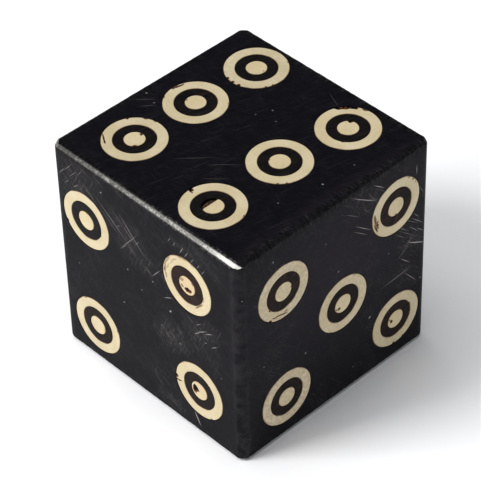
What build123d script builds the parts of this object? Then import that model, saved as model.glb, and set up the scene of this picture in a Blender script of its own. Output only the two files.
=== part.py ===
from build123d import *
import os

# A hand-cut cube die of black horn.
# Every pip is a bull's eye of three pieces let into a flat-bottomed pocket: a bone ring, a black
# collar inside the ring, and a bone dot in the collar, whose pin runs on into a pilot hole.
# A thin line of dark glue separates each piece from the next. All lengths are in millimetres.
# The origin is the middle of the underside, +Z is up, and opposite faces add up to seven.

# The horn block
die_width = 32.0  # along X, from the two to the five
die_depth = 32.0  # along Y, from the four to the three
die_height = 32.0  # along Z, from the one to the six
flat_edge_round = 0.6  # radius along the eight edges of the one and the six
upright_edge_round = 1.0  # radius along the four upright edges, which are worn more
corner_round = 3.2  # radius of the ball that the eight corners are worn to

# One pip
ring_diameter = 8.2  # outside of the bone ring
ring_bore = 5.4  # inside of the bone ring
dot_diameter = 2.7  # bone dot and its pin
inlay_depth = 1.2  # thickness of the ring and the collar
pin_length = 2.6  # dot and pin together
glue_line = 0.06  # radial clearance round every inlaid piece

# Where the pips stand, as black margins between a ring's rim and the edges of its face
pip_margin = 2.7  # on every face but the six
row_margin = 3.9  # beside the two rows of the six
end_margin = 1.5  # at the ends of the rows of the six

# Each pip is (column, row, drift along u, drift along v). Column and row are -1, 0 or 1, and
# count from the middle of the face. A drift is how far the pip was drilled off its mark.
pips = {
    "one": [(0, 0, 0.3, -0.4)],
    "two": [(-1, 1, 0.6, -0.5), (1, -1, -0.4, 0.8)],
    "three": [(-1, 1, -0.5, 0.3), (0, 0, -0.4, 0.6), (1, -1, 0.7, 0.5)],
    "four": [(-1, 1, -1.3, -2.4), (1, 1, -1.9, -1.5), (-1, -1, -0.7, -1.0), (1, -1, -0.6, 0.5)],
    "five": [
        (-1, 1, 0.4, -1.5),
        (1, 1, 0.9, -0.2),
        (0, 0, 1.1, -0.8),
        (-1, -1, 0.7, -0.6),
        (1, -1, 1.3, -0.5),
    ],
    "six": [
        (-1, 1, -0.7, 0.7),
        (-1, 0, -1.1, 1.2),
        (-1, -1, -1.2, 1.7),
        (1, 1, -0.5, 0.2),
        (1, 0, -1.9, 0.5),
        (1, -1, -1.7, -0.1),
    ],
}

# The plane of each face, seen from outside: u to the right, v up, and the normal outwards
top = die_height
middle = die_height / 2
right = die_width / 2
back = die_depth / 2
face_planes = {
    "one": Plane(origin=(0, 0, 0), x_dir=(1, 0, 0), z_dir=(0, 0, -1)),
    "two": Plane(origin=(-right, 0, middle), x_dir=(0, -1, 0), z_dir=(-1, 0, 0)),
    "three": Plane(origin=(0, back, middle), x_dir=(-1, 0, 0), z_dir=(0, 1, 0)),
    "four": Plane(origin=(0, -back, middle), x_dir=(1, 0, 0), z_dir=(0, -1, 0)),
    "five": Plane(origin=(right, 0, middle), x_dir=(0, 1, 0), z_dir=(1, 0, 0)),
    "six": Plane(origin=(0, 0, top), x_dir=(1, 0, 0), z_dir=(0, 0, 1)),
}
face_sizes = {
    "one": (die_width, die_depth),
    "two": (die_depth, die_height),
    "three": (die_width, die_height),
    "four": (die_width, die_height),
    "five": (die_depth, die_height),
    "six": (die_width, die_depth),
}


def face_margins(face):
    """The black margins beside and beyond the outer pips of a face."""
    if face == "six":
        return row_margin, end_margin
    return pip_margin, pip_margin


def pip_planes(face):
    """The planes of a face's pips: on the face, with the origin at the middle of the pip."""
    reach_u, reach_v = [
        size / 2 - margin - ring_diameter / 2
        for size, margin in zip(face_sizes[face], face_margins(face))
    ]
    planes = []
    for column, row, drift_u, drift_v in pips[face]:
        plane = face_planes[face]
        centre = plane.from_local_coords((column * reach_u + drift_u, row * reach_v + drift_v, 0))
        planes.append(Plane(origin=centre, x_dir=plane.x_dir, z_dir=plane.z_dir))
    return planes


def write_piece(part, name):
    """Label a finished piece and write its STEP file."""
    part.label = name
    export_step(part, f"parts/{name}.step")


os.makedirs("parts", exist_ok=True)
places = {face: pip_planes(face) for face in pips}

# The form that the corners are worn to: a larger block, rounded all over. It stands so far outside
# the die that its rounded edges just reach the die's own, and only its ball corners cut the die.
corner_stand_off = corner_round * (1 - 0.5**0.5)
with BuildPart() as ball_cornered:
    with BuildSketch(Plane.XY.offset(-corner_stand_off)):
        Rectangle(die_width + 2 * corner_stand_off, die_depth + 2 * corner_stand_off)
    extrude(amount=die_height + 2 * corner_stand_off)
    fillet(ball_cornered.edges(), radius=corner_round)

# Horn block: a cube with worn edges and corners, a pocket and a pilot hole for each pip
with BuildPart() as die_body:
    with BuildSketch():
        Rectangle(die_width, die_depth)
    extrude(amount=die_height)
    fillet(die_body.edges().filter_by(Axis.Z), radius=upright_edge_round)
    fillet(die_body.faces().filter_by(Axis.Z).edges(), radius=flat_edge_round)
    add(ball_cornered.part, mode=Mode.INTERSECT)
    for face in pips:
        with BuildSketch(*places[face]):
            Circle(ring_diameter / 2 + glue_line)
        extrude(amount=-inlay_depth, mode=Mode.SUBTRACT)
        with BuildSketch(*places[face]):
            Circle(dot_diameter / 2 + glue_line)
        extrude(amount=-pin_length, mode=Mode.SUBTRACT)
write_piece(die_body.part, "die_body")

# Bone rings, one node each
for face in pips:
    for number, place in enumerate(places[face], start=1):
        with BuildPart() as bone_ring:
            with BuildSketch(place):
                Circle(ring_diameter / 2)
                Circle(ring_bore / 2, mode=Mode.SUBTRACT)
            extrude(amount=-inlay_depth)
        write_piece(bone_ring.part, f"bone_ring_{face}_{number}")

# Bone dots with their pins, one node each
for face in pips:
    for number, place in enumerate(places[face], start=1):
        with BuildPart() as bone_dot:
            with BuildSketch(place):
                Circle(dot_diameter / 2)
            extrude(amount=-pin_length)
        write_piece(bone_dot.part, f"bone_dot_{face}_{number}")

# Black collars, one node for each face, with a separate solid in every pip
for face in pips:
    with BuildPart() as black_collars:
        with BuildSketch(*places[face]):
            Circle(ring_bore / 2 - glue_line)
            Circle(dot_diameter / 2 + glue_line, mode=Mode.SUBTRACT)
        extrude(amount=-inlay_depth)
    write_piece(black_collars.part, f"black_collars_{face}")
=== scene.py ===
# %% Load the fixed frame
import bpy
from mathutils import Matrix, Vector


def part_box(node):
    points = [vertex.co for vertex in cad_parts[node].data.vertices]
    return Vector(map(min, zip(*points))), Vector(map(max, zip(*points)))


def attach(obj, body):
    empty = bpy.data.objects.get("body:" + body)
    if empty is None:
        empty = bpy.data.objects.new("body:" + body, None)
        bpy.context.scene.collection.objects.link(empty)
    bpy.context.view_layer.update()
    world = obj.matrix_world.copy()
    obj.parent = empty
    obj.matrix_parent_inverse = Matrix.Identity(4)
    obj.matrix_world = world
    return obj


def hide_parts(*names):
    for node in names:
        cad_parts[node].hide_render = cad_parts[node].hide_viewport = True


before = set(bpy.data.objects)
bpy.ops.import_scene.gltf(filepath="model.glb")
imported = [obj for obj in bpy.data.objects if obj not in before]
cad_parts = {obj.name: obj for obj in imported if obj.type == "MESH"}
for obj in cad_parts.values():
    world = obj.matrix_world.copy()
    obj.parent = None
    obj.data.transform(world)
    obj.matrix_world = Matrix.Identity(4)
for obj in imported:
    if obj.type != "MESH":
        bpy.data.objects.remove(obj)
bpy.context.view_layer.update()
print("The frame holds", len(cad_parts), "fixed parts")

# %% [markdown]
# # A horn die with bone bull's eyes
# This lesson dresses a small hand-cut cube die. The block is black horn, filed and polished by
# hand, and every pip is three pieces let into a pocket: a bone ring, a black collar and a bone
# dot. The shapes and places come from the fixed frame. What is added here is what years of use
# leave behind: worn edges, file marks, chips, cracks, scratches and stained glue lines.

# %% Modules and lengths
import math
import random

import bmesh
import bpy
from mathutils import Matrix, Quaternion, Vector, noise

MM = 0.001  # shapes are written in millimetres and made in metres
block_low, block_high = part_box("die_body")
block_centre = (block_low + block_high) / 2
half_edge = (block_high.z - block_low.z) / 2
side_mm, top_mm = half_edge / MM, block_high.z / MM
print("The block is", round(2 * side_mm, 2), "mm on an edge")

# %% [markdown]
# ## The camera
# A long lens from about nine and a half edges away keeps the cube's sides nearly parallel. The
# camera looks down at a corner, so that the six, the four and the five all show, and it leans
# over by a little under two degrees, as a hand-held one does.


# %% Camera
def toward(azimuth, elevation):
    """The direction from the die to something seen at an azimuth and an elevation, in degrees."""
    turn, rise = math.radians(azimuth), math.radians(elevation)
    return Vector((math.sin(turn) * math.cos(rise), -math.cos(turn) * math.cos(rise), math.sin(rise)))


def facing(direction):
    """The turn that makes a camera or a light look back along a direction."""
    return (-direction).to_track_quat("-Z", "Y")


camera_direction = toward(47.2, 41.8)
camera_distance = 19.08 * half_edge
camera_lean = math.radians(-1.75)
camera_aim = block_centre + Vector((-0.27, -0.28, 0)) * MM
camera_data = bpy.data.cameras.new("camera")
camera_data.sensor_width = 36
camera_data.lens = 185.5
camera = bpy.data.objects.new("camera", camera_data)
camera.location = camera_aim + camera_direction * camera_distance
camera.rotation_mode = "QUATERNION"
camera.rotation_quaternion = facing(camera_direction) @ Quaternion((0, 0, 1), camera_lean)
bpy.context.scene.collection.objects.link(camera)
bpy.context.scene.camera = camera
print("Camera at", [round(value, 3) for value in camera.location])

# %% [markdown]
# ## Stage and light
# The die stands on a white floor whose rim sweeps up into a low wall, so that no side has a
# horizon. A soft key light from the left throws the shadow to the right, and broad, weak fills
# open it. Behind the die the room stays dark, because polished black shows whatever it mirrors.


# %% Lights
lamp_distance = 1.2


def soft_light(name, direction, width, height, power, tint=(1, 1, 1)):
    """A rectangular lamp that looks at the die from a direction."""
    lamp = bpy.data.lights.new(name, "AREA")
    lamp.shape = "RECTANGLE"
    lamp.size = width
    lamp.size_y = height
    lamp.energy = power
    lamp.color = tint
    light = bpy.data.objects.new(name, lamp)
    light.location = block_centre + direction * lamp_distance
    light.rotation_mode = "QUATERNION"
    light.rotation_quaternion = facing(direction)
    bpy.context.scene.collection.objects.link(light)


soft_light("key", toward(-30, 46), 0.40, 0.34, 9.4)
soft_light("left_fill", toward(-28, 12), 1.0, 0.4, 6.2)
soft_light("top_fill", toward(-70, 82), 0.8, 0.8, 7.4)
soft_light("side_fill", toward(78, 13), 0.9, 0.4, 3.9, (0.96, 0.98, 1.0))
world = bpy.data.worlds.new("studio")
world.use_nodes = True
world.node_tree.nodes["Background"].inputs["Color"].default_value = (0.82, 0.88, 1.0, 1)
world.node_tree.nodes["Background"].inputs["Strength"].default_value = 0.14
bpy.context.scene.world = world
bpy.context.scene.view_settings.view_transform = "Standard"
print("Four soft lights and a dim room")

# %% [markdown]
# ## A small language for finishes
# A finish is a node tree, and trees are easier to read as sums. `Field` wraps one socket, and
# arithmetic on it adds Math nodes, so `1 - mask` is a real expression. `Finish` is one material
# and makes every other kind of node.


# %% Field and Finish
class Field:
    """One socket of a finish. Arithmetic on it adds Math nodes."""

    def __init__(self, finish, socket):
        self.finish = finish
        self.socket = socket

    def math(self, operation, *others):
        values = dict(enumerate((self, *others)))
        return self.finish.node("ShaderNodeMath", {"operation": operation}, values)

    def __add__(self, other):
        return self.math("ADD", other)

    def __mul__(self, other):
        return self.math("MULTIPLY", other)

    def __sub__(self, other):
        return self.math("SUBTRACT", other)

    def __rsub__(self, other):
        return self.finish.node("ShaderNodeMath", {"operation": "SUBTRACT"}, {0: other, 1: self})

    __radd__ = __add__
    __rmul__ = __mul__

    def either(self, other):
        """The larger of two masks."""
        return self.math("MAXIMUM", other)

    def rise(self, low, high):
        """Nought below low, one above high, and a soft slope between them."""
        limits = {"Value": self, "From Min": low, "From Max": high}
        return self.finish.node("ShaderNodeMapRange", {"interpolation_type": "SMOOTHSTEP"}, limits)


class Finish:
    """One material, and the nodes that feed its shader."""

    def __init__(self, name):
        self.material = bpy.data.materials.new(name)
        self.material.use_nodes = True
        self.tree = self.material.node_tree
        self.shader = self.tree.nodes["Principled BSDF"]
        self.place = self.node("ShaderNodeTexCoord", output="Object")

    def node(self, kind, settings=None, values=None, output=0):
        """Adds a node, gives it its settings and then its values or links, and returns an output."""
        made = self.tree.nodes.new(kind)
        for name, value in (settings or {}).items():
            setattr(made, name, value)
        for name, value in (values or {}).items():
            self.feed(made.inputs[name], value)
        return Field(self, made.outputs[output])

    def feed(self, socket, value):
        """Links a field to a socket, or sets the socket to a number or a colour."""
        if isinstance(value, Field):
            self.tree.links.new(value.socket, socket)
        else:
            socket.default_value = value

    def give(self, **sockets):
        """Feeds the shader. An underscore stands for a space in a socket's name."""
        for name, value in sockets.items():
            self.feed(self.shader.inputs[name.replace("_", " ")], value)

    def mix(self, factor, first, second):
        """A colour that goes from the first to the second."""
        settings = {"data_type": "RGBA", "clamp_factor": True}
        return self.node("ShaderNodeMix", settings, {0: factor, 6: first, 7: second}, output=2)

    def attribute(self, name):
        """A number kept on the vertices of the piece."""
        return self.node("ShaderNodeAttribute", {"attribute_name": name}, output="Fac")

    def coordinates(self):
        """Object coordinates in millimetres, one field for each axis."""
        parts = [self.node("ShaderNodeSeparateXYZ", {}, {0: self.place}, output=axis) for axis in range(3)]
        return [part * (1 / MM) for part in parts]

    def cells(self, size, turn=(0, 0, 0), offset=0.0, detail=2.0):
        """Noise whose features have a size in millimetres, one number or one for each axis."""
        sizes = Vector((size, size, size)) if isinstance(size, (int, float)) else Vector(size)
        values = {"Vector": self.place, "Location": (offset,) * 3, "Rotation": turn, "Scale": sizes * MM}
        local = self.node("ShaderNodeMapping", {"vector_type": "TEXTURE"}, values)
        return self.node("ShaderNodeTexNoise", {}, {"Vector": local, "Scale": 1.0, "Detail": detail})

    def bump(self, height, strength, distance):
        """The surface normal of a height field, a distance in millimetres deep."""
        values = {"Height": height, "Strength": strength, "Distance": distance * MM}
        return self.node("ShaderNodeBump", {}, values)


def colour(red, green, blue):
    """A colour given by three 8-bit display values, as the linear one that a shader takes."""
    linear = [((v / 255 + 0.055) / 1.055) ** 2.4 if v > 10 else v / 3295 for v in (red, green, blue)]
    return (*linear, 1.0)


# %% Floor
floor_finish = Finish("white_floor")
paper = floor_finish.cells(40)
floor_finish.give(
    Base_Color=floor_finish.mix(paper, colour(248, 248, 248), colour(251, 251, 251)),
    Roughness=0.9,
    Specular_IOR_Level=0.1,
)
floor_shape = bmesh.new()
floor_line = [(0, 0), (0.9, 0), (1.2, 0.02), (1.4, 0.09), (1.5, 0.22), (1.52, 0.34)]
floor_points = [floor_shape.verts.new((reach, 0, rise - 0.02 * MM)) for reach, rise in floor_line]
floor_edges = [floor_shape.edges.new(pair) for pair in zip(floor_points, floor_points[1:])]
bmesh.ops.spin(
    floor_shape, geom=floor_points + floor_edges, axis=(0, 0, 1), cent=(0, 0, 0),
    angle=2 * math.pi, steps=96, use_merge=True,
)
bmesh.ops.remove_doubles(floor_shape, verts=floor_shape.verts[:], dist=1e-6)
bmesh.ops.recalc_face_normals(floor_shape, faces=floor_shape.faces[:])
for face in floor_shape.faces:
    face.smooth = True
floor_mesh = bpy.data.meshes.new("floor")
floor_shape.to_mesh(floor_mesh)
floor_shape.free()
floor_mesh.materials.append(floor_finish.material)
floor = bpy.data.objects.new("floor", floor_mesh)
bpy.context.scene.collection.objects.link(floor)
print("The floor is", round(2 * floor_line[-1][0], 2), "m across")

# %% [markdown]
# ## The faces and their pips
# Each face has its own small frame: across, up and out. Everything that is let into a face is
# made once, flat, with its axis upright, and then laid into that frame. The fixed parts say
# where each pip is and how wide and deep its pieces are.

# %% Face frames
face_axes = {
    "one": ((1, 0, 0), (0, 0, -1)),
    "two": ((0, -1, 0), (-1, 0, 0)),
    "three": ((-1, 0, 0), (0, 1, 0)),
    "four": ((1, 0, 0), (0, -1, 0)),
    "five": ((0, 1, 0), (1, 0, 0)),
    "six": ((1, 0, 0), (0, 0, 1)),
}


def face_frame(face, across_mm=0.0, up_mm=0.0):
    """The matrix from a face's own frame to the die's, at a point of the face."""
    across, out = (Vector(axis) for axis in face_axes[face])
    up = out.cross(across)
    turn = Matrix((across, up, out)).transposed().to_4x4()
    middle = block_centre + out * half_edge
    return Matrix.Translation(middle + across * across_mm * MM + up * up_mm * MM) @ turn


def measured(node, face):
    """Where a round fixed part sits in its face's frame, and its bore, radius and depth."""
    back = face_frame(face).inverted()
    low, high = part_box(node)
    middle = back @ ((low + high) / 2)
    points = [back @ vertex.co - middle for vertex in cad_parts[node].data.vertices]
    reaches = [math.hypot(point.x, point.y) for point in points]
    depth = max(point.z for point in points) - min(point.z for point in points)
    place = {"across": middle.x / MM, "up": middle.y / MM}
    return {**place, "bore": min(reaches), "radius": max(reaches), "depth": depth}


pips = {}
for face in face_axes:
    rings = sorted(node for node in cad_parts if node.startswith("bone_ring_" + face))
    for ring in rings:
        name = ring.replace("bone_ring_", "")
        pips[name] = {
            "face": face,
            "ring": measured(ring, face),
            "dot": measured("bone_dot_" + name, face),
        }
sample = pips["six_1"]
print(len(pips), "pips; ring", {key: round(value / MM, 2) for key, value in sample["ring"].items()})

# %% [markdown]
# ## Finishes
# Horn and bone are both close-grained and take a soft polish. Their character is in small
# things: the grey of fine scratches on black, the brown that creeps along glue lines, the pores
# of bone. Each is a layer, and each layer is a mask over the one below.

# %% Placed marks on the horn
# Each scratch is (across, up, length, width, angle, strength) on its face, lengths in mm.
scratches = {
    "four": [
        (-5.8, 10.0, 6.8, 0.06, -37, 0.42), (-2.0, 9.5, 6.2, 0.06, -46, 0.48),
        (-6.3, 9.6, 4.6, 0.05, -39, 0.24), (-2.6, 9.3, 4.0, 0.05, -44, 0.24),
        (-9.0, 11.4, 2.0, 0.05, -40, 0.3), (-2.8, 8.2, 5.4, 0.05, 51, 0.4),
        (-3.6, 7.0, 1.6, 0.05, 48, 0.34), (-1.2, 9.0, 1.4, 0.05, 54, 0.3),
        (0.6, 5.6, 1.8, 0.05, -44, 0.34), (-4.6, 9.6, 1.0, 0.05, 46, 0.34),
        (1.9, 6.2, 2.6, 0.07, 50, 0.4), (3.8, 3.5, 1.7, 0.07, 31, 0.5),
        (8.1, -13.8, 2.2, 0.12, -62, 0.8), (-13.2, 13.6, 2.6, 0.06, 50, 0.28),
        (-12.4, 13.0, 2.2, 0.05, 47, 0.28), (-14.4, 12.4, 1.8, 0.07, 52, 0.36),
        (-11.0, 14.0, 1.6, 0.05, 55, 0.25), (6.6, 12.8, 1.4, 0.08, 64, 0.45),
        (7.4, 12.6, 1.2, 0.07, 60, 0.4), (9.6, 1.8, 2.2, 0.09, 36, 0.45),
        (10.8, 2.2, 1.6, 0.08, 30, 0.45), (8.7, 1.0, 1.6, 0.08, 40, 0.4),
        (11.6, 0.6, 1.3, 0.08, 38, 0.4), (9.0, 2.6, 1.2, 0.06, 40, 0.4),
        (4.6, 13.2, 1.0, 0.06, 62, 0.35), (5.4, 13.0, 0.9, 0.06, 66, 0.35),
        (8.4, 12.3, 1.0, 0.06, 58, 0.4), (9.4, 12.0, 0.9, 0.06, 62, 0.35),
        (10.2, 11.6, 1.1, 0.06, 56, 0.35), (-12.0, 11.4, 1.4, 0.07, 44, 0.35),
        (-13.6, 11.2, 1.1, 0.06, 49, 0.35), (-9.8, 11.8, 0.8, 0.06, -30, 0.35),
    ],
    "five": [
        (4.7, 13.4, 5.2, 0.08, -35, 0.55), (7.1, 14.0, 2.3, 0.08, -38, 0.5),
        (13.6, 12.7, 1.6, 0.08, -90, 0.5), (4.5, 9.1, 3.6, 0.07, -40, 0.45),
        (4.0, 8.6, 2.9, 0.06, -39, 0.35), (14.1, 0.8, 3.9, 0.11, -30, 0.8),
        (10.4, -2.7, 4.9, 0.07, 4, 0.45), (12.0, -0.9, 2.5, 0.07, -44, 0.5),
        (13.1, -4.3, 3.3, 0.07, -51, 0.4), (14.0, 4.4, 3.0, 0.06, -44, 0.45),
        (13.4, 3.4, 2.4, 0.06, -46, 0.4), (14.6, 2.6, 2.0, 0.06, -42, 0.4),
        (13.8, 5.4, 1.6, 0.05, -50, 0.4), (10.6, 5.4, 2.6, 0.05, -38, 0.3),
        (11.4, 4.6, 2.8, 0.05, -41, 0.34), (11.0, 3.7, 2.2, 0.05, -43, 0.3),
        (12.6, 2.0, 3.0, 0.05, 38, 0.3), (12.2, 1.2, 2.6, 0.05, 42, 0.28),
        (11.4, 0.6, 2.0, 0.05, 35, 0.26), (2.6, 12.2, 2.8, 0.05, -37, 0.3),
        (6.2, 12.6, 2.4, 0.05, -33, 0.28), (14.6, 9.0, 2.2, 0.05, -60, 0.3),
        (12.8, 5.0, 4.0, 0.05, -40, 0.24), (12.2, 3.4, 4.4, 0.05, -42, 0.22),
    ],
    "six": [
        (1.8, -4.6, 4.4, 0.05, 45, 0.12), (-1.6, -6.2, 5.0, 0.05, 47, 0.12),
        (3.0, -7.0, 3.6, 0.05, 44, 0.12), (-14.0, -2.8, 3.0, 0.05, 45, 0.15),
        (-12.8, -3.4, 2.4, 0.05, 49, 0.15), (2.6, 13.2, 3.4, 0.05, -24, 0.1),
    ],
    "one": [
        (4.2, 9.0, 7.0, 0.07, 28, 0.5), (-7.0, -8.4, 5.2, 0.07, -33, 0.5),
        (8.0, -5.0, 4.0, 0.08, 70, 0.4),
    ],
    "two": [
        (0.4, -2.0, 6.4, 0.08, 39, 0.5), (9.4, 6.0, 4.4, 0.07, -52, 0.45),
        (-8.0, -9.6, 3.2, 0.08, 12, 0.4),
    ],
    "three": [
        (6.4, 8.2, 5.6, 0.07, -31, 0.5), (-8.2, -6.8, 6.2, 0.08, 48, 0.5),
        (3.0, -11.8, 3.0, 0.08, 83, 0.4),
    ],
}
# Each speck is (across, up, size, strength).
specks = {
    "four": [
        (-7.3, 13.2, 0.2, 0.7), (1.2, 4.4, 0.16, 0.8), (-3.3, 3.5, 0.18, 0.6), (-0.9, 1.7, 0.15, 0.6),
        (4.1, 1.5, 0.24, 1.0), (10.2, 0.4, 0.15, 0.7), (-4.4, -2.6, 0.18, 0.6), (2.4, -1.9, 0.14, 0.5),
        (5.5, -2.9, 0.16, 0.6), (-12.6, -1.4, 0.14, 0.5), (12.6, -3.8, 0.14, 0.5),
    ],
    "five": [
        (-10.4, 13.3, 0.18, 0.7), (-5.3, -4.7, 0.2, 0.7), (5.8, -6.3, 0.3, 0.6), (0.3, 4.9, 0.18, 0.6),
        (14.8, -5.5, 0.18, 0.7), (-15.3, 10.4, 0.16, 0.6), (-1.8, 10.6, 0.14, 0.5),
        (9.0, 2.2, 0.14, 0.5), (-12.2, -2.2, 0.15, 0.5), (3.0, -12.8, 0.15, 0.5),
    ],
    "six": [
        (-1.3, 6.6, 0.16, 0.6), (0.5, 5.4, 0.14, 0.5), (-2.2, 4.6, 0.14, 0.5), (12.6, 1.1, 0.18, 0.8),
        (12.8, 6.2, 0.14, 0.5), (11.3, -4.9, 0.14, 0.5), (-14.7, -1.8, 0.18, 0.6),
        (-12.6, -2.4, 0.16, 0.6),
    ],
    "one": [(-3.0, 5.0, 0.2, 0.7), (6.0, -9.0, 0.2, 0.6)],
    "two": [(3.0, 3.6, 0.2, 0.7), (-6.0, 1.0, 0.2, 0.6)],
    "three": [(-5.0, 7.0, 0.2, 0.7), (8.0, -2.0, 0.2, 0.6)],
}
# Each scuff is (across, up, length, width, angle, strength), a soft grey cloud.
scuffs = {
    "four": [
        (4.1, -2.3, 6.0, 5.0, 20, 0.75), (-11.6, 12.6, 9.0, 7.0, 45, 0.55),
        (9.6, 1.4, 7.0, 4.4, 35, 0.7), (-3.0, 8.6, 10.0, 6.0, -40, 0.45),
        (4.4, -14.0, 6.0, 3.0, 0, 0.4), (8.5, 13.2, 8.0, 2.6, 0, 0.5),
    ],
    "five": [
        (13.4, 2.0, 7.0, 5.0, -45, 0.6), (6.0, 12.6, 9.0, 4.0, -35, 0.4),
        (12.4, -3.4, 6.0, 4.0, -30, 0.35),
    ],
    "six": [(-14.2, -2.4, 5.0, 4.0, 45, 0.25), (1.0, -6.0, 9.0, 6.0, 45, 0.2)],
    "one": [(0.0, -9.0, 10.0, 7.0, 30, 0.6)],
    "two": [(3.0, -4.0, 11.0, 7.0, 40, 0.5)],
    "three": [(4.0, -8.0, 12.0, 6.0, -30, 0.5)],
}
# Each sheen is like a scuff but smooth and broad: a painted reflection that lightens most of a face.
painted_sheens = {"five": [(1.0, 6.0, 44.0, 30.0, 0, 1.0)], "two": [(-4.0, 4.0, 30.0, 20.0, 0, 0.6)]}
print(sum(len(marks) for marks in scratches.values()), "placed scratches")


# %% Black horn
def patch(finish, face, across, up, length, width, angle, depth=0.4):
    """One at the middle of an oval on a face, fading to nought at its rim. Lengths in mm."""
    there = face_frame(face, across, up) @ Matrix.Rotation(math.radians(angle), 4, "Z")
    half_sizes = Vector((length / 2, width / 2, depth)) * MM
    values = {
        "Vector": finish.wandering,
        "Location": there.translation,
        "Rotation": there.to_euler(),
        "Scale": half_sizes,
    }
    local = finish.node("ShaderNodeMapping", {"vector_type": "TEXTURE"}, values)
    return finish.node("ShaderNodeTexGradient", {"gradient_type": "SPHERICAL"}, {"Vector": local}, output=1)


def wander(finish, size, amount):
    """Object coordinates shaken a little, so that a mark laid on them isn't ruler-straight."""
    values = {"Vector": finish.place, "Scale": 1 / (size * MM), "Detail": 1.0}
    shake = finish.node("ShaderNodeTexNoise", {}, values, output=1)
    centred = finish.node("ShaderNodeVectorMath", {"operation": "SUBTRACT"}, {0: shake, 1: (0.5, 0.5, 0.5)})
    scaled = finish.node("ShaderNodeVectorMath", {"operation": "SCALE"}, {0: centred, "Scale": amount * MM})
    return finish.node("ShaderNodeVectorMath", {"operation": "ADD"}, {0: finish.place, 1: scaled})


def placed_marks(finish, marks_by_face, shape):
    """The strongest of many placed marks, each made by a function of its numbers."""
    strongest = None
    for face, marks in marks_by_face.items():
        for mark in marks:
            one = shape(finish, face, *mark)
            strongest = one if strongest is None else strongest.either(one)
    return strongest


def scratch(finish, face, across, up, length, width, angle, strength):
    return patch(finish, face, across, up, length * 1.15, width * 1.5, angle) * (strength * 2.6)


def speck(finish, face, across, up, size, strength):
    return patch(finish, face, across, up, size * 1.8, size * 1.4, 30) * (strength * 1.6)


def scuff(finish, face, across, up, length, width, angle, strength):
    return patch(finish, face, across, up, length * 1.3, width * 1.3, angle, depth=3.0) * strength


horn = Finish("black_horn")
horn.wandering = wander(horn, 2.4, 0.14)
deep_scratch = placed_marks(horn, scratches, scratch).either(placed_marks(horn, specks, speck))
cloud = placed_marks(horn, scuffs, scuff)
painted_sheen = placed_marks(horn, painted_sheens, scuff)
print("Placed marks are on the horn, which has", len(horn.tree.nodes), "nodes so far")

# %% Fine scratches, haze and grain of the horn
sheets = [  # how each sheet of fine scratches is turned, and its scratches' length and width
    ((0.3, 0.2, 0.8), 3.6, 0.05), ((1.1, 0.5, 0.2), 2.8, 0.045), ((0.5, 1.2, 1.9), 3.2, 0.05),
    ((0.9, 2.2, 0.6), 2.4, 0.045), ((2.0, 0.7, 1.4), 2.0, 0.05),
]
fine = None
for number, (turn, length, width) in enumerate(sheets):
    streak = horn.cells((length, length, width), turn=turn, offset=0.013 * number, detail=1.0)
    streak = streak.rise(0.64, 0.80)
    fine = streak if fine is None else fine.either(streak)
mottle = horn.cells(1.1, detail=4.0)
smear = horn.cells(6.0, offset=0.4, detail=3.0)
dust = horn.cells(0.16, offset=0.2, detail=2.0).rise(0.60, 0.80)
pits = horn.cells(0.45, offset=0.7, detail=2.0).rise(0.70, 0.80)
six_side = horn.coordinates()[2].rise(top_mm - 0.1, top_mm - 0.01)  # the six has kept its polish
rubbed = (cloud + smear.rise(0.45, 0.75) * 0.18).math("MINIMUM", 1.0) * (1 - six_side * 0.85)
print(len(sheets), "sheets of fine scratches")


# %% Beside the edges
def insets(finish):
    """How far in a point is from each pair of faces, in millimetres."""
    middles = block_centre / MM
    return [side_mm - (part - middle).math("ABSOLUTE") for part, middle in zip(finish.coordinates(), middles)]


def file_strokes(finish, inset, pitch):
    """Strokes across the edges of the six and the one, each edge by the axis that it runs along."""
    most = inset[0].either(inset[1]).either(inset[2])
    strokes = None
    for axis in range(2):
        sizes = [3.0, 3.0, 3.0]
        sizes[axis] = pitch
        cut = finish.cells(sizes, offset=0.05 * axis, detail=2.0)
        along = inset[axis].math("GREATER_THAN", most - 0.001)
        strokes = cut * along if strokes is None else strokes + cut * along
    return strokes


inset = insets(horn)
least = inset[0].math("MINIMUM", inset[1]).math("MINIMUM", inset[2])
most = inset[0].either(inset[1]).either(inset[2])
second = inset[0] + inset[1] + inset[2] - least - most
level_edge = inset[2].math("LESS_THAN", second + 0.001)
beside_edge = second.rise(1.3, 0.5) * level_edge
strokes = file_strokes(horn, inset, 0.17).rise(0.46, 0.74)
print("The second inset is how far a point is from the nearest edge")

# %% Put the horn together
black = colour(10, 9, 14)
grey_brown = colour(71, 68, 67)
scratch_grey = colour(158, 153, 150)
tone = horn.mix(mottle * 0.7, black, colour(15, 14, 19))
tone = horn.mix(rubbed * (0.04 + mottle * 0.34), tone, grey_brown)
# Painted reflection: a broad, lighter grey sheen over most of the five, as the floor's reflection would show.
tone = horn.mix(painted_sheen * (0.6 + mottle * 0.4), tone, colour(34, 31, 37))
tone = horn.mix(fine * (rubbed + 0.06) * 0.7, tone, scratch_grey)
tone = horn.mix(dust * (rubbed + 0.14) * 0.26, tone, scratch_grey)
tone = horn.mix(deep_scratch, tone, scratch_grey)
tone = horn.mix(beside_edge * (1 - strokes * 0.3) * 0.85, tone, colour(5, 5, 7))
tone = horn.mix(beside_edge * strokes * 0.13, tone, colour(120, 116, 114))
upright_edge = second.rise(1.6, 0.8) * (1 - level_edge)
tone = horn.mix(upright_edge * mottle.rise(0.3, 0.7) * 0.6, tone, colour(44, 43, 45))
gloss = 0.34 + mottle * 0.08 + rubbed * 0.12 + deep_scratch * 0.25 + fine * 0.08
relief = mottle * 0.5 + strokes * beside_edge * 0.6 - fine * 0.25 - deep_scratch * 0.8 - pits * 0.7
horn.give(
    Base_Color=tone,
    Roughness=gloss,
    Specular_IOR_Level=0.032,
    Normal=horn.bump(relief, 0.5, 0.02),
)
print("Black horn has", len(horn.tree.nodes), "nodes")
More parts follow.
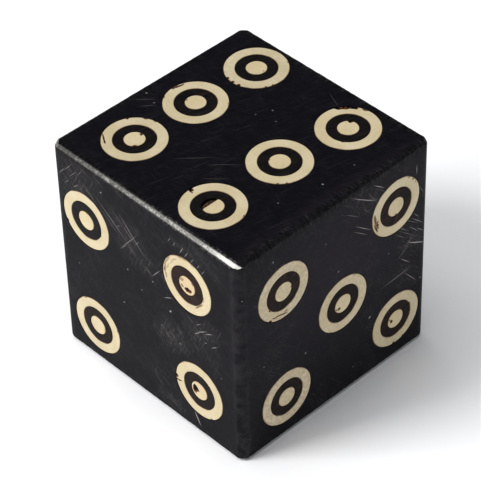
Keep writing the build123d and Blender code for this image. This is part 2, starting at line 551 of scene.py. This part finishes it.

# %% [markdown]
# The file leaves the edges rougher and darker than the polished faces, with strokes across them.
# One edge carries a painted highlight: a pale band where the key light glances off it. A second
# material keeps that apart from the polish, and its masks come from how far a point is from the
# faces that meet at the edge.

# %% Filed horn, for the edges and the corners
filed = Finish("filed_horn")
stroke_pitch = 0.24  # millimetres
edge_strokes = file_strokes(filed, insets(filed), stroke_pitch)
edge_cloud = filed.cells(1.3, offset=0.3, detail=3.0)
edge_grain = filed.cells(0.26, offset=0.6, detail=3.0)
edge_marks = (edge_strokes * 0.45 + edge_grain * 0.55).rise(0.44, 0.60)
edge_tone = filed.mix(edge_marks * 0.6, colour(5, 5, 7), colour(32, 31, 32))
edge_tone = filed.mix(edge_cloud.rise(0.5, 0.8) * 0.3, edge_tone, colour(34, 32, 32))
print("The strokes across the edges are about", stroke_pitch, "mm apart")

# %% The painted highlight on the edge
# Painted highlight: the edge between the six and the four is painted pale along its middle, where
# the key light glances off it, and most of all towards the five.
east, north, up = filed.coordinates()
highlight_pale, highlight_white = colour(190, 187, 181), colour(222, 219, 212)
over_the_edge = (north + up - (top_mm - side_mm - 0.02)).math("ABSOLUTE")
near_edge = north.rise(1.1 - side_mm, 0.8 - side_mm) * up.rise(top_mm - 1.1, top_mm - 0.8)
towards_five = east.rise(0.5 - side_mm, side_mm - 2.0)
highlight_band = near_edge * (over_the_edge + edge_grain * 0.5 - 0.25).rise(0.48, 0.20)
flecks = (edge_grain * 0.7 + edge_strokes * 0.3).rise(0.46, 0.66)
painted_highlight = highlight_band * (flecks * (0.26 + towards_five * 0.44) + towards_five * 0.24 + 0.10)
painted_highlight = painted_highlight.either(near_edge * flecks * (0.06 + towards_five * 0.10))
edge_tone = filed.mix(painted_highlight.math("MINIMUM", 1.0), edge_tone, highlight_pale)
# Painted highlight: a faint pale band on the edge by the two, near its corner.
highlight_by_two = east.rise(0.9 - side_mm, 0.5 - side_mm) * up.rise(top_mm - 0.8, top_mm - 0.4)
highlight_by_two = highlight_by_two * north.rise(-3.0, 4.0 - side_mm) * (flecks * 0.3 + 0.15)
edge_tone = filed.mix(highlight_by_two, edge_tone, highlight_pale)
# Painted glint: the band turns whiter towards the corner by the five.
painted_glint_tip = highlight_band * east.rise(side_mm - 6.0, side_mm - 1.8) * (0.50 + edge_grain * 0.8)
edge_tone = filed.mix(painted_glint_tip.math("MINIMUM", 1.0), edge_tone, highlight_white)
filed.give(
    Base_Color=edge_tone,
    Roughness=0.40 + edge_cloud * 0.10 + (1 - edge_marks) * 0.2,
    Specular_IOR_Level=0.08,
    Normal=filed.bump(edge_strokes * 0.6 + edge_grain * 0.6 + edge_cloud * 0.4, 0.8, 0.03),
)
print("Filed horn has", len(filed.tree.nodes), "nodes")

# %% [markdown]
# Bone is cream with a fine grain and small pores. Damage shows brown, because dirt stays in it,
# so the stain is read from the vertices that the damage moves. Rings and dots are cut from
# different bones and get their own tones. The collars are horn with faint lines from turning.

# %% Bone, for the rings and the dots


def bone_finish(name, light, dark, offset):
    """Polished bone: cream, faintly clouded and streaked, with pores and brown-stained damage."""
    bone = Finish(name)
    clouds = bone.cells(3.0, offset=offset, detail=3.0)
    grain = bone.cells((0.9, 0.16, 0.16), turn=(0.3, 0.4, 0.7), offset=offset, detail=2.0)
    pores = bone.cells(0.17, offset=offset + 0.3, detail=1.0).rise(0.66, 0.78)
    stain = bone.attribute("stain")
    warmth = bone.attribute("warmth")
    blotch = bone.cells(0.5, offset=offset + 0.6, detail=3.0)
    tone = bone.mix(clouds.rise(0.3, 0.7), light, dark)
    tone = bone.mix(grain.rise(0.45, 0.75) * 0.30, tone, colour(172, 158, 122))
    tone = bone.mix(warmth.rise(0, 1) * (0.4 + blotch * 0.6), tone, colour(190, 132, 78))
    tone = bone.mix(warmth.rise(0, -1) * blotch.rise(0.3, 0.65), tone, colour(152, 136, 120))
    tone = bone.mix(pores * 0.55, tone, colour(140, 112, 74))
    tone = bone.mix((stain * (0.75 + blotch * 0.5)).rise(0.15, 0.75), tone, colour(94, 58, 30))
    tone = bone.mix((stain * (0.6 + blotch * 0.6)).rise(0.85, 1.2), tone, colour(30, 19, 14))
    relief = clouds * 0.6 + grain * 0.4 - pores * 0.6 - stain * blotch
    bone.give(
        Base_Color=tone,
        Roughness=0.42 + blotch * 0.12 + stain * 0.3,
        Specular_IOR_Level=0.3,
        Normal=bone.bump(relief, 0.4, 0.02),
    )
    print(name, "has", len(bone.tree.nodes), "nodes")
    return bone.material


ring_bone = bone_finish("ring_bone", colour(200, 187, 154), colour(190, 175, 139), 0.0)
dot_bone = bone_finish("dot_bone", colour(202, 187, 152), colour(193, 177, 138), 0.21)

# %% Collar horn
collar = Finish("collar_horn")
turning = collar.cells(0.9, detail=3.0)
turning_lines = collar.cells((3.0, 3.0, 0.07), turn=(0.4, 0.9, 0.3), offset=0.1, detail=1.0)
turning_lines = turning_lines.rise(0.55, 0.75)
crossing_lines = collar.cells((2.4, 2.4, 0.06), turn=(1.2, 0.3, 1.0), offset=0.2, detail=1.0)
crossing_lines = crossing_lines.rise(0.58, 0.78)
wear = collar.attribute("warmth")
browned = collar.mix(turning.rise(0.35, 0.7), colour(11, 9, 10), colour(18, 15, 15))
browned = collar.mix(wear * turning.rise(0.2, 0.6) * 0.6, browned, colour(104, 58, 38))
browned = collar.mix((turning_lines + crossing_lines) * (0.07 + wear * 0.5), browned, colour(116, 106, 96))
collar.give(
    Base_Color=browned,
    Roughness=0.40 + turning * 0.16,
    Specular_IOR_Level=0.045,
    Normal=collar.bump(turning * 0.5 - turning_lines * 0.3, 0.5, 0.02),
)
print("Collar horn has", len(collar.tree.nodes), "nodes")

# %% [markdown]
# ## The worn block
# The block could be a cube with a Bevel modifier, but a bevel is the same width all along. A
# hand-made die gets its edges from a file, and each stroke leaves a small flat. So the block is
# a cube cut by planes: narrow flats along each edge, wider at one end than at the other, and a
# ball of small flats at each corner.


# %% File a flat
def file_flat(block, point, normal):
    """Takes off everything outside a plane and closes the cut with one face."""
    everything = block.verts[:] + block.edges[:] + block.faces[:]
    cut = bmesh.ops.bisect_plane(
        block, geom=everything, dist=1e-8, plane_co=point, plane_no=normal, clear_outer=True
    )
    rim = [part for part in cut["geom_cut"] if isinstance(part, bmesh.types.BMEdge)]
    if len(rim) > 2:
        bmesh.ops.edgeloop_fill(block, edges=rim)


def round_over(block, first, second, start_radius, end_radius, flats):
    """Files narrow flats that follow a rounded edge, from one radius to another, in mm."""
    along = first.cross(second)
    edge = block_centre + (first + second) * half_edge
    for number in range(1, flats + 1):
        angle = math.radians(90 * number / (flats + 1))
        outward = first * math.cos(angle) + second * math.sin(angle)
        inward = outward - first - second
        start = edge - along * half_edge + inward * start_radius * MM
        end = edge + along * half_edge + inward * end_radius * MM
        normal = (end - start).cross(second * math.cos(angle) - first * math.sin(angle))
        if normal.dot(outward) < 0:
            normal.negate()
        file_flat(block, start, normal)


def wear_corner(block, signs, ball, stand_off, draws):
    """Files small flats that follow a ball just inside a corner, lengths in mm."""
    middle = block_centre + Vector(signs) * (half_edge + (stand_off - ball) * MM)
    for polar in (18, 32, 45, 58, 72):
        for turn in (18, 32, 45, 58, 72):
            across = math.sin(math.radians(polar))
            normal = Vector(
                (
                    across * math.cos(math.radians(turn)) * signs[0],
                    across * math.sin(math.radians(turn)) * signs[1],
                    math.cos(math.radians(polar)) * signs[2],
                )
            )
            nudge = Vector([draws.uniform(-0.05, 0.05) for _ in range(3)])
            normal = (normal + nudge).normalized()
            file_flat(block, middle + normal * (ball - draws.uniform(0, 0.03)) * MM, normal)


# %% Cut the block
draws = random.Random(11)
block = bmesh.new()
bmesh.ops.create_cube(block, size=2 * half_edge, matrix=Matrix.Translation(block_centre))
x_axis, y_axis = Vector((1, 0, 0)), Vector((0, 1, 0))
for side_x in (-1, 1):
    for side_y in (-1, 1):
        radius = 1.25 if (side_x, side_y) == (1, -1) else draws.uniform(0.9, 1.2)
        round_over(block, x_axis * side_x, y_axis * side_y, radius, radius, flats=4)
edge_radii = {  # at the two ends of each edge of the six and the one
    ("six", "four"): (0.55, 0.95), ("six", "five"): (0.85, 0.34),
    ("six", "three"): (0.5, 0.66), ("six", "two"): (0.6, 0.46),
    ("one", "four"): (0.62, 0.54), ("one", "five"): (0.6, 0.72),
    ("one", "three"): (0.7, 0.54), ("one", "two"): (0.56, 0.66),
}
for (flat, upright), (start_radius, end_radius) in edge_radii.items():
    outs = [Vector(face_axes[face][1]) for face in (flat, upright)]
    round_over(block, *outs, start_radius, end_radius, flats=3)
for side_x in (-1, 1):
    for side_y in (-1, 1):
        for side_z in (-1, 1):
            wear_corner(block, (side_x, side_y, side_z), 3.2, 0.94, draws)
print("The filed block has", len(block.faces), "faces")

# %% [markdown]
# The filed flats are still ruler-straight. They are cut across into short lengths, about as long
# as a file's teeth are coarse, and the points on each border are nudged in or out along the face
# they lie on, so that the faces stay true while the borders get ragged. A few deeper nudges are
# nicks.


# %% Roughen the borders
def cut_across(block, axis, pitch):
    """Cuts the flats that run along one axis into short lengths."""
    flats = []
    for face in block.faces:
        extents = [max(v.co[i] for v in face.verts) - min(v.co[i] for v in face.verts) for i in range(3)]
        aligned = max(abs(part) for part in face.normal) > 0.999
        if not aligned and extents[axis] > half_edge:
            flats.append(face)
    parts = list(dict.fromkeys(part for face in flats for part in [*face.verts, *face.edges, face]))
    normal = Vector([1.0 if i == axis else 0.0 for i in range(3)])
    count = int(2 * half_edge / pitch)
    for number in range(1, count):
        point = block_low + normal * pitch * number
        cut = bmesh.ops.bisect_plane(block, geom=parts, dist=1e-8, plane_co=point, plane_no=normal)
        parts = cut["geom"]


for axis in range(3):
    cut_across(block, axis, 0.36 * MM)
print("Cut across, the block has", len(block.faces), "faces")

# %% Nudge the borders
border_reach, corner_reach = 1.3 * MM, 2.4 * MM  # how far in the borders and the corners go
nicks = {  # along each edge: where, how wide and how deep, in mm
    ("six", "five"): [(8.9, 0.45, 0.3), (-3.2, 0.3, 0.14), (2.4, 0.25, 0.1)],
    ("six", "four"): [(-6.4, 0.3, 0.12), (5.1, 0.3, 0.14), (12.2, 0.35, 0.16)],
    ("six", "three"): [(4.4, 0.4, 0.2)],
    ("six", "two"): [(-5.0, 0.4, 0.18)],
    ("one", "four"): [(3.3, 0.5, 0.22)],
    ("one", "five"): [(-6.1, 0.45, 0.22)],
    ("one", "three"): [(7.0, 0.5, 0.22)],
    ("one", "two"): [(-2.2, 0.5, 0.22)],
}
moved = 0
for vertex in block.verts:
    offset = vertex.co - block_centre
    ranked = sorted((half_edge - abs(offset[i]), i) for i in range(3))
    if ranked[0][0] > 1e-6 and ranked[1][0] < 1.2 * MM and ranked[2][0] > 1.6 * MM and ranked[2][1] < 2:
        along = offset[ranked[2][1]]
        dent = 0.035 * noise.noise(Vector((along / (0.45 * MM), ranked[0][1] * 5.0, offset[2] / MM)))
        for _, axis in ranked[:2]:
            vertex.co[axis] -= math.copysign(max(0.0, 0.012 + dent) * MM, offset[axis])
        continue
    on_a_border = ranked[0][0] < 1e-6 < ranked[1][0] < border_reach
    if not on_a_border or ranked[2][0] < corner_reach:
        continue
    near, run = ranked[1][1], ranked[2][1]
    grain = noise.noise(Vector((offset[run] / (0.5 * MM), near * 7.0, ranked[0][1] * 3.0)))
    slow = noise.noise(Vector((offset[run] / (5.0 * MM), near * 5.0, ranked[0][1] * 9.0)))
    shift = (0.035 * grain + 0.05 * slow) * MM
    for faces, places in nicks.items():
        outs = [Vector(face_axes[face][1]) for face in faces]
        if all(out.dot(offset) > half_edge - border_reach for out in outs):
            for where, width, depth in places:
                shift += depth * max(0.0, 1 - abs(offset[run] / MM - where) / width) * MM
    vertex.co[near] -= math.copysign(min(max(shift, -0.1 * MM), ranked[1][0] + 0.4 * MM), offset[near])
    moved += 1
print(moved, "border points nudged")

# %% [markdown]
# Each pip's seat is a flat-bottomed pocket with a deeper pilot hole for the dot's pin. The seats
# are one set of stepped plugs, spun from a profile, and a Boolean takes them out of the block.


# %% Spin a profile
def spun(profile, steps, closed=True):
    """Spins a profile of (radius, height) points in millimetres about the upright axis."""
    shape = bmesh.new()
    points = [shape.verts.new((radius * MM, 0, height * MM)) for radius, height in profile]
    pairs = list(zip(points, points[1:] + points[:1])) if closed else list(zip(points, points[1:]))
    edges = [shape.edges.new(pair) for pair in pairs]
    bmesh.ops.spin(
        shape, geom=points + edges, axis=(0, 0, 1), cent=(0, 0, 0),
        angle=2 * math.pi, steps=steps, use_merge=True,
    )
    bmesh.ops.remove_doubles(shape, verts=shape.verts[:], dist=1e-7)
    bmesh.ops.recalc_face_normals(shape, faces=shape.faces[:])
    return shape


def laid_in(target, shape, matrix):
    """Adds a shape to another bmesh, in its place."""
    bmesh.ops.transform(shape, matrix=matrix, verts=shape.verts[:])
    carrier = bpy.data.meshes.new("carrier")
    shape.to_mesh(carrier)
    shape.free()
    target.from_mesh(carrier)
    bpy.data.meshes.remove(carrier)


def pip_frame(name):
    """The matrix from a pip's own frame to the die's."""
    pip = pips[name]
    return face_frame(pip["face"], pip["ring"]["across"], pip["ring"]["up"])


# %% Seats for the pips
glue_line = 0.06  # millimetres between one piece and the next
seats = bmesh.new()
for name, pip in pips.items():
    wide = pip["ring"]["radius"] / MM + glue_line
    deep = pip["ring"]["depth"] / MM
    pin_wide = pip["dot"]["radius"] / MM + glue_line
    pin_deep = pip["dot"]["depth"] / MM
    profile = [(0, 0.5), (wide, 0.5), (wide, -deep), (pin_wide, -deep)]
    profile += [(pin_wide, -pin_deep), (0, -pin_deep)]
    laid_in(seats, spun(profile, 96, closed=False), pip_frame(name))


def linked(name, shape):
    """Makes an object of a bmesh and puts it in the scene."""
    mesh = bpy.data.meshes.new(name)
    shape.to_mesh(mesh)
    shape.free()
    piece = bpy.data.objects.new(name, mesh)
    bpy.context.scene.collection.objects.link(piece)
    return piece


def applied(piece):
    """Replaces a piece's mesh by the mesh that its modifiers make, and drops the modifiers."""
    bpy.context.view_layer.update()
    graph = bpy.context.evaluated_depsgraph_get()
    piece.data = bpy.data.meshes.new_from_object(piece.evaluated_get(graph))
    piece.modifiers.clear()


def creased(mesh, angle):
    """Shades a mesh smooth but for the edges that turn more than an angle, in degrees."""
    shape = bmesh.new()
    shape.from_mesh(mesh)
    for face in shape.faces:
        face.smooth = True
    for edge in shape.edges:
        edge.smooth = len(edge.link_faces) == 2 and edge.calc_face_angle(0) < math.radians(angle)
    shape.to_mesh(mesh)
    shape.free()


bmesh.ops.recalc_face_normals(block, faces=block.faces[:])
worn_block = linked("worn_block", block)
seat_plugs = linked("seat_plugs", seats)
cut_seats = worn_block.modifiers.new("seats", "BOOLEAN")
cut_seats.operation = "DIFFERENCE"
cut_seats.solver = "EXACT"
cut_seats.object = seat_plugs
applied(worn_block)
bpy.data.objects.remove(seat_plugs)
creased(worn_block.data, 32)
weighting = worn_block.modifiers.new("flat faces lead", "WEIGHTED_NORMAL")
weighting.keep_sharp = True
weighting.weight = 100
applied(worn_block)
worn_block.data.materials.clear()
worn_block.data.materials.append(horn.material)
worn_block.data.materials.append(filed.material)
for polygon in worn_block.data.polygons:
    slanting = 0.15 < abs(polygon.normal.z) < 0.9995
    inset_of = min(half_edge - abs(part) for part in polygon.center - block_centre)
    polygon.material_index = 1 if slanting and inset_of < 1.1 * MM else 0
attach(worn_block, "root")
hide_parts("die_body")
print("The worn block has", len(worn_block.data.polygons), "faces")

# %% [markdown]
# ## Bone rings
# A ring is a slice of bone tube: its top is polished level with the horn and its two rims are
# barely softened. Spinning a profile gives the ring, and then it is damaged. Each chip is an
# oval on the ring's top, given by where it is, how long and wide it is and how deep it goes.
# Noise breaks up its outline. The same oval leaves a brown stain on the vertices in a `stain`
# attribute, which the bone finish reads.

# %% Chips on the rings
# Each chip is (angle round the ring, radius, length along the rim, width, depth, stain).
ring_chips = {
    "six_1": [
        (-77, 3.98, 0.36, 0.34, 0.3, 1.35), (-91, 3.98, 0.4, 0.36, 0.3, 1.35),
        (-105, 4.0, 0.32, 0.28, 0.3, 1.3), (-14, 4.02, 0.3, 0.22, 0.2, 1.1),
        (-27, 4.02, 0.28, 0.2, 0.2, 1.0), (60, 4.02, 0.4, 0.16, 0.1, 0.6),
    ],
    "six_2": [
        (168, 3.82, 1.2, 0.24, 0.25, 1.15), (176, 3.94, 0.9, 0.24, 0.2, 0.8),
        (-150, 4.02, 0.4, 0.18, 0.1, 0.6), (40, 4.02, 0.5, 0.16, 0.1, 0.5),
    ],
    "six_3": [
        (226, 3.66, 1.8, 0.17, 0.3, 1.35, -12), (216, 3.86, 0.6, 0.14, 0.2, 1.2, -12),
        (150, 4.0, 0.28, 0.2, 0.2, 1.2), (100, 4.02, 0.4, 0.16, 0.1, 0.6),
        (118, 4.0, 0.5, 0.2, 0.1, 0.8),
    ],
    "six_4": [
        (138, 3.88, 2.9, 0.52, 0.35, 1.0), (124, 3.86, 1.1, 0.44, 0.3, 1.3),
        (150, 3.84, 0.7, 0.4, 0.3, 1.3), (138, 3.72, 0.6, 0.3, 0.3, 1.2),
        (104, 3.96, 0.6, 0.24, 0.2, 0.9), (-60, 2.72, 0.5, 0.16, 0.1, 0.7),
    ],
    "six_5": [
        (-32, 4.02, 0.4, 0.22, 0.15, 0.8), (-48, 4.02, 0.3, 0.2, 0.12, 0.8),
        (-20, 4.02, 0.26, 0.18, 0.1, 0.7),
    ],
    "six_6": [
        (177, 3.96, 0.5, 0.6, 0.35, 1.2), (181, 3.7, 0.2, 0.7, 0.2, 0.8),
        (20, 4.02, 0.4, 0.2, 0.1, 0.6),
    ],
    "four_1": [(210, 4.02, 0.5, 0.2, 0.1, 0.6), (-20, 2.74, 0.4, 0.18, 0.1, 0.6)],
    "four_2": [
        (150, 3.86, 2.2, 0.3, 0.03, 0.48), (172, 3.74, 1.5, 0.4, 0.03, 0.5),
        (188, 3.62, 1.0, 0.3, 0.03, 0.5), (100, 3.92, 2.0, 0.22, 0.03, 0.5),
        (76, 3.94, 1.2, 0.18, 0.03, 0.5), (160, 3.4, 0.9, 0.24, 0.02, 0.42),
        (-42, 2.84, 1.9, 0.24, 0.03, 0.6), (-10, 2.82, 1.2, 0.2, 0.03, 0.5),
        (128, 3.5, 1.2, 0.3, 0.02, 0.4), (176, 3.9, 0.34, 0.16, 0.06, 0.9),
        (140, 3.3, 0.9, 0.2, 0.02, 0.4),
    ],
    "four_3": [(20, 4.02, 0.5, 0.2, 0.1, 0.6), (120, 4.02, 0.4, 0.18, 0.1, 0.6)],
    "four_4": [
        (181, 3.95, 0.5, 0.44, 0.3, 1.2), (190, 3.6, 0.22, 0.9, 0.25, 1.1),
        (-60, 4.02, 0.4, 0.2, 0.1, 0.6),
    ],
    "five_1": [
        (215, 2.8, 0.4, 0.2, 0.15, 0.9), (236, 3.98, 0.46, 0.28, 0.25, 1.2),
        (-98, 3.46, 1.9, 0.16, 0.15, 1.0, 6), (-116, 3.62, 0.8, 0.12, 0.12, 0.9),
        (-84, 3.3, 0.6, 0.12, 0.1, 0.8),
    ],
    "five_2": [
        (182, 3.55, 1.3, 0.34, 0.05, 0.72), (196, 3.5, 1.4, 0.7, 0.03, 0.62),
        (206, 3.72, 0.9, 0.2, 0.15, 1.0), (172, 3.75, 0.9, 0.2, 0.05, 0.7),
        (198, 3.3, 0.3, 0.3, 0.15, 1.0), (42, 3.92, 0.36, 0.2, 0.1, 0.8),
        (56, 3.94, 0.26, 0.18, 0.1, 0.8), (30, 3.9, 0.3, 0.16, 0.05, 0.6),
        (188, 3.2, 0.3, 0.4, 0.05, 0.7),
    ],
    "five_3": [(-120, 4.02, 0.4, 0.2, 0.1, 0.7), (60, 4.02, 0.5, 0.18, 0.1, 0.5)],
    "five_4": [(140, 4.02, 0.5, 0.2, 0.1, 0.5)],
    "five_5": [
        (-94, 4.0, 0.36, 0.26, 0.2, 1.1), (-70, 4.02, 0.3, 0.2, 0.12, 0.8),
        (20, 2.74, 0.5, 0.2, 0.1, 0.8),
    ],
}
# Each dot's marks are the same, with the angle and radius from the middle of the dot.
dot_chips = {
    "six_1": [(10, 1.1, 0.3, 0.14, 0.1, 0.6)],
    "six_2": [(200, 1.2, 0.3, 0.16, 0.1, 0.7)],
    "six_3": [(95, 1.18, 0.4, 0.36, 0.35, 1.3), (-40, 1.28, 0.5, 0.26, 0.3, 1.2)],
    "six_4": [(120, 1.2, 0.6, 0.34, 0.35, 1.3)],
    "six_5": [(-150, 1.25, 0.3, 0.16, 0.1, 0.7)],
    "four_1": [(80, 1.2, 0.3, 0.14, 0.1, 0.5)],
    "four_2": [
        (-84, 0.62, 0.84, 0.62, 0.4, 1.4), (-50, 0.8, 0.6, 0.4, 0.3, 1.25),
        (-150, 1.0, 0.5, 0.4, 0.05, 0.6), (150, 1.0, 0.8, 0.5, 0.03, 0.5),
        (40, 1.2, 0.5, 0.2, 0.05, 0.6),
    ],
    "four_3": [(0, 1.25, 0.3, 0.14, 0.1, 0.5)],
    "four_4": [
        (172, 0.6, 0.86, 0.9, 0.45, 1.4), (-155, 0.84, 0.7, 0.56, 0.35, 1.3),
        (150, 0.95, 0.4, 0.3, 0.2, 0.9),
    ],
    "five_1": [(0, 1.26, 0.28, 0.16, 0.15, 0.8)],
    "five_2": [(-90, 1.2, 0.3, 0.18, 0.15, 0.8)],
    "five_3": [(218, 0.8, 0.46, 0.4, 0.35, 1.2), (200, 1.15, 0.3, 0.2, 0.2, 0.9)],
    "five_4": [(60, 1.25, 0.3, 0.14, 0.1, 0.5)],
    "five_5": [(180, 0.72, 0.5, 0.36, 0.35, 1.2), (160, 1.1, 0.3, 0.2, 0.2, 0.9)],
}
# How far a pip's (ring, dot, collar) has turned, from -1, grey, by 0, cream, to 1, tea-brown.
warmths = {
    "six_1": (-0.3, -0.1, 0.0), "six_2": (-0.1, -0.1, 0.0), "six_3": (-0.2, 0.08, 0.0),
    "six_4": (0.10, 0.06, 0.0), "six_5": (0.05, 0.12, 0.0), "six_6": (0.06, 0.15, 0.0),
    "four_1": (0.0, 0.0, 0.0), "four_2": (0.16, 0.34, 0.16), "four_3": (0.0, 0.0, 0.05),
    "four_4": (0.05, 0.16, 0.05), "five_1": (-0.5, -0.4, 0.1), "five_2": (-0.25, -0.3, 0.1),
    "five_3": (-0.4, -0.2, 0.05), "five_4": (-0.6, -0.5, 0.05), "five_5": (-0.35, 0.12, 0.1),
}
# The chips of the pips not listed are drawn between these limits, in the same order.
ring_limits = [(0, 360), (3.85, 4.02), (0.3, 1.1), (0.15, 0.36), (0.1, 0.3), (0.6, 1.2)]
dot_limits = [(0, 360), (0.6, 1.2), (0.3, 0.6), (0.2, 0.4), (0.1, 0.3), (0.7, 1.2)]
hidden_draws = random.Random(5)
for name in pips:
    if name not in ring_chips:
        ring_chips[name] = [tuple(hidden_draws.uniform(*limits) for limits in ring_limits) for _ in range(4)]
        dot_chips[name] = [tuple(hidden_draws.uniform(*limits) for limits in dot_limits) for _ in range(2)]
        warmths[name] = tuple(hidden_draws.uniform(-limit, limit) for limit in (0.20, 0.20, 0.08))
    dot_chips.setdefault(name, [])
print(sum(len(chips) for chips in ring_chips.values()), "chips on the rings")


# %% Damage a piece
def damaged(shape, chips, warmth, seed):
    """Sinks the chips into the top of a ring or a dot and leaves their stain on its vertices."""
    stain = shape.verts.layers.float.get("stain") or shape.verts.layers.float.new("stain")
    warm = shape.verts.layers.float.new("warmth")
    for vertex in shape.verts:
        vertex[warm] = warmth
        if vertex.co.z < -0.25 * MM:
            vertex[stain] = max(vertex[stain], 0.9)
            continue
        sink, brown = 0.0, vertex[stain]
        across, up = vertex.co.x / MM, vertex.co.y / MM
        for angle, radius, length, width, depth, strength, *slant in chips:
            turn = math.radians(angle)
            outward = across * math.cos(turn) + up * math.sin(turn) - radius
            sideways = -across * math.sin(turn) + up * math.cos(turn)
            if slant:
                lean = math.radians(slant[0])
                outward, sideways = (
                    outward * math.cos(lean) - sideways * math.sin(lean),
                    outward * math.sin(lean) + sideways * math.cos(lean),
                )
            ragged = noise.noise(Vector((across * 3.1, up * 3.1, seed + angle))) * 0.4
            ragged += noise.noise(Vector((across * 8.0, up * 8.0, seed + angle))) * 0.3
            gap = math.hypot(2 * sideways / length, 2 * outward / width) + ragged
            sink = max(sink, depth * min(1.0, max(0.0, (1.0 - gap) * 3.0)))
            brown = max(brown, strength * min(1.0, max(0.0, (1.35 - gap) * 2.0)))
        vertex[stain] = brown
        vertex.co.z -= sink * MM


# %% Make the rings
def ring_profile(bore, radius, depth):
    """A ring's section, with closely spaced points across its top so that chips have an outline."""
    soft = 0.04
    top = [radius - soft - (radius - bore - 2 * soft) * step / 20 for step in range(21)]
    outside = [(radius, -depth), (radius, -0.5), (radius, -0.2), (radius, -soft)]
    inside = [(bore, -soft), (bore, -0.2), (bore, -0.5), (bore, -depth)]
    return outside + [(reach, 0.0) for reach in top] + inside


def rim_stain(shape, rims, width):
    """Stains the vertices close to a rim, where glue and dirt creep under the polish."""
    stain = shape.verts.layers.float.new("stain")
    for vertex in shape.verts:
        reach = math.hypot(vertex.co.x, vertex.co.y) / MM
        gap = min(abs(reach - rim) for rim in rims)
        spot = noise.noise(vertex.co / MM * 0.9)
        vertex[stain] = max(0.0, 1 - gap / width) * (0.60 + 0.3 * spot)


def settle(shape, radius, amount, seed):
    """Pulls a round piece very slightly out of true, always inwards."""
    for vertex in shape.verts:
        reach = math.hypot(vertex.co.x, vertex.co.y) / MM
        if reach > 1e-6:
            angle = math.atan2(vertex.co.y, vertex.co.x)
            wave = noise.noise(Vector((math.cos(angle) * 1.4, math.sin(angle) * 1.4, seed)))
            pull = amount * (0.5 + 0.5 * wave)
            share = 1 - pull / radius
            vertex.co.x *= share
            vertex.co.y *= share


def finished(name, shape, material, nodes, crease=35):
    """Makes a piece of a shape, gives it its finish and ties it to the fixed parts it stands for."""
    piece = linked(name, shape)
    creased(piece.data, crease)
    piece.data.materials.append(material)
    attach(piece, "root")
    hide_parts(*nodes)
    return piece


for number, (name, pip) in enumerate(pips.items()):
    bore, radius = pip["ring"]["bore"] / MM, pip["ring"]["radius"] / MM
    ring = spun(ring_profile(bore, radius, pip["ring"]["depth"] / MM), 240)
    rim_stain(ring, (bore, radius), 0.13)
    damaged(ring, ring_chips[name], warmths[name][0], number * 3.7)
    settle(ring, radius, 0.05, number * 1.9)
    bmesh.ops.transform(ring, matrix=pip_frame(name), verts=ring.verts[:])
    finished("ring_" + name, ring, ring_bone, ["bone_ring_" + name])
print(len(pips), "bone rings, each", round(2 * radius, 2), "mm across")

# %% [markdown]
# ## Bone dots
# A dot is the end of a bone pin. It is spun the same way, from the middle out, and its pits are
# deeper than the chips of the rings. One dot has split along a straight line and lost a third.


# %% Make the dots
def dot_profile(radius, depth):
    """A pin's section from the middle of its end to the middle of its foot."""
    soft = 0.04
    top = [(radius - soft) * step / 16 for step in range(17)]
    side = [(radius, -soft), (radius, -0.2), (radius, -0.5), (radius, -depth)]
    return [(reach, 0.0) for reach in top] + side + [(0, -depth)]


def split_off(shape, distance, depth):
    """Sinks what lies beyond a straight split to the left of the middle, and stains it."""
    everything = shape.verts[:] + shape.edges[:] + shape.faces[:]
    for step in (0.0, 0.03):
        point = Vector((-(distance + step) * MM, 0, 0))
        cut = bmesh.ops.bisect_plane(shape, geom=everything, dist=1e-8, plane_co=point, plane_no=(1, 0, 0))
        everything = shape.verts[:] + shape.edges[:] + shape.faces[:]
    stain = shape.verts.layers.float.get("stain")
    for vertex in shape.verts:
        if vertex.co.x < -(distance + 0.02) * MM and vertex.co.z > -0.6 * MM:
            rough = noise.noise(vertex.co / MM * 2.5)
            vertex.co.z -= (depth + 0.12 * rough) * MM
            vertex[stain] = 1.2 + 0.3 * rough


for number, (name, pip) in enumerate(pips.items()):
    radius, depth = pip["dot"]["radius"] / MM, pip["dot"]["depth"] / MM
    dot = spun(dot_profile(radius, depth), 96, closed=False)
    rim_stain(dot, (radius,), 0.10)
    damaged(dot, dot_chips[name], warmths[name][1], 40 + number * 2.3)
    if name == "six_6":
        split_off(dot, 0.42, 0.35)
    settle(dot, radius, 0.03, 50 + number * 2.1)
    bmesh.ops.transform(dot, matrix=pip_frame(name), verts=dot.verts[:])
    finished("dot_" + name, dot, dot_bone, ["bone_dot_" + name])
print(len(pips), "bone dots, each", round(2 * radius, 2), "mm across")

# %% [markdown]
# ## Black collars
# Between ring and dot sits a collar of the same horn. It is thinner stock, so it polished with
# faint turning lines and browned more than the block. The collars of one face are one piece
# here, as they are in the fixed frame.


# %% Make the collars
for face in face_axes:
    collars = bmesh.new()
    names = [name for name in pips if pips[name]["face"] == face]
    for number, name in enumerate(names):
        pip = pips[name]
        outer = pip["ring"]["bore"] / MM - glue_line
        inner = pip["dot"]["radius"] / MM + glue_line
        one = spun(ring_profile(inner, outer, pip["ring"]["depth"] / MM), 120)
        one.verts.layers.float.new("stain")
        scars = [(70 + 130 * number, 2.2, 0.7, 0.12, 0.05, 0.0)]
        scars += [(200 + 90 * number, 1.8, 0.5, 0.1, 0.05, 0.0)]
        damaged(one, scars, warmths[name][2], 90 + number)
        settle(one, outer, 0.03, 70 + number * 1.3)
        laid_in(collars, one, pip_frame(name))
    finished("collars_" + face, collars, collar.material, ["black_collars_" + face])
print("Six sets of collars")
